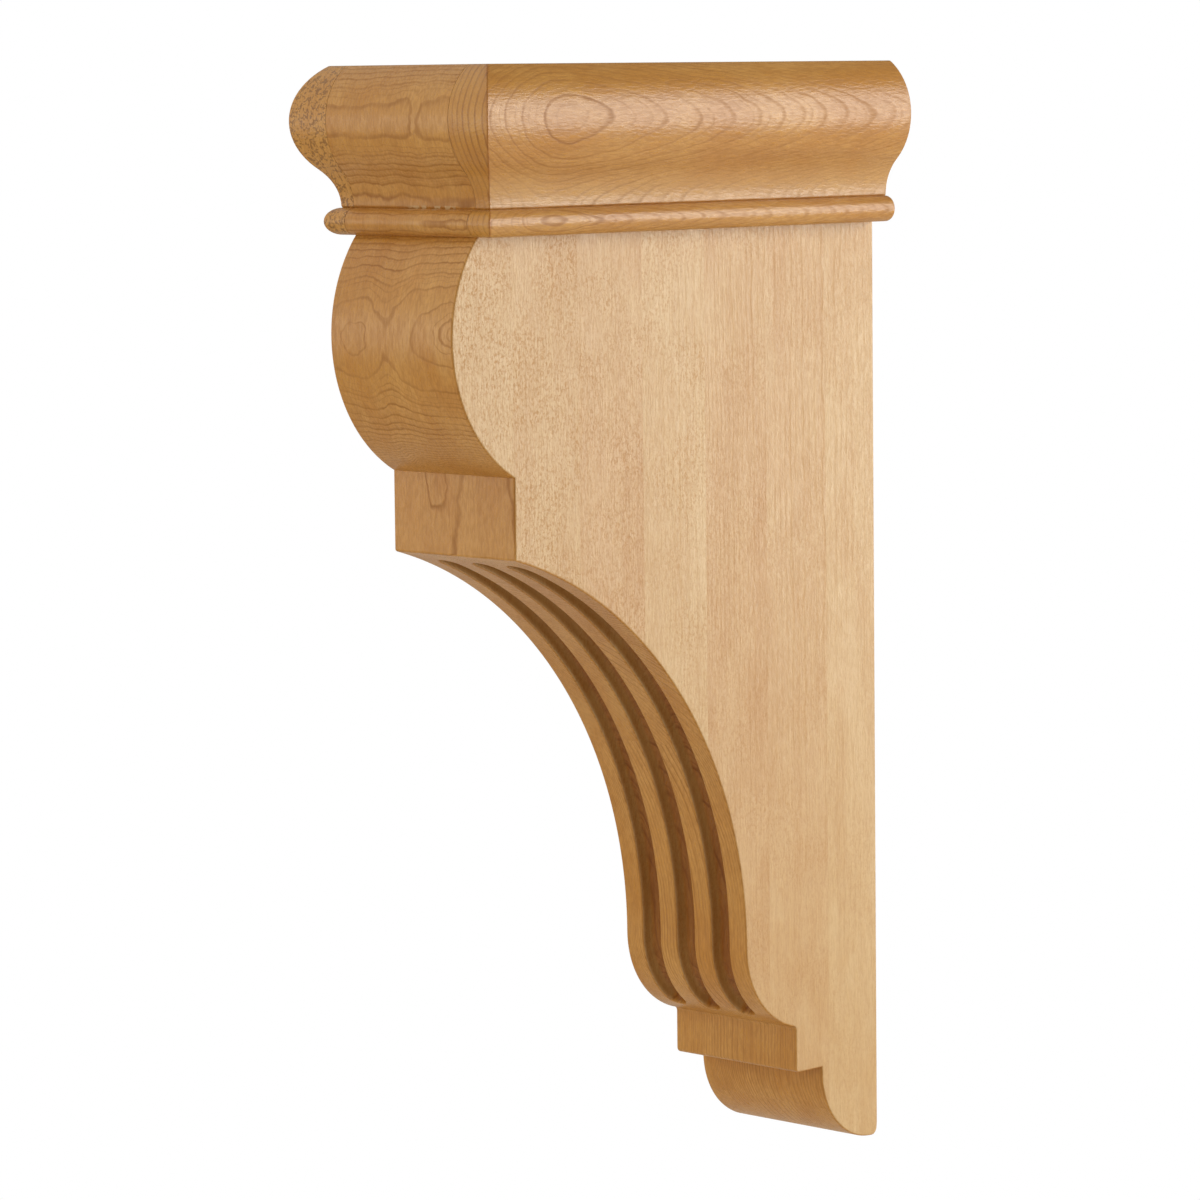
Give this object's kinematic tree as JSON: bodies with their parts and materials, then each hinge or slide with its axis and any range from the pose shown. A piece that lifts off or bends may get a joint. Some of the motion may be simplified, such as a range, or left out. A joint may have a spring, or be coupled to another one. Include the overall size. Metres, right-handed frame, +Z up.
{
  "type": "wooden corbel bracket",
  "caption": "Wooden corbel bracket with a round belly, a fluted concave front, a stepped foot and a crown moulding round its head, fixed flat to a wall to carry a shelf or mantel.",
  "frame": {"origin": "middle of the flat back face that meets the wall", "axes": "+Z up, +Y out of the back face into the wall, so the front of the bracket looks along -Y, X across it"},
  "size_m": [0.0888, 0.1905, 0.3556],
  "materials": {
    "body_maple": "hard maple glued up from upright staves, under a clear satin finish",
    "crown_maple": "flat-sawn hard maple boards with their grain from wall to front, under a clear satin finish"
  },
  "bodies": {
    "root": {"corbel_body": "body_maple", "crown_left": "crown_maple", "crown_right": "crown_maple"}
  },
  "joints": []
}
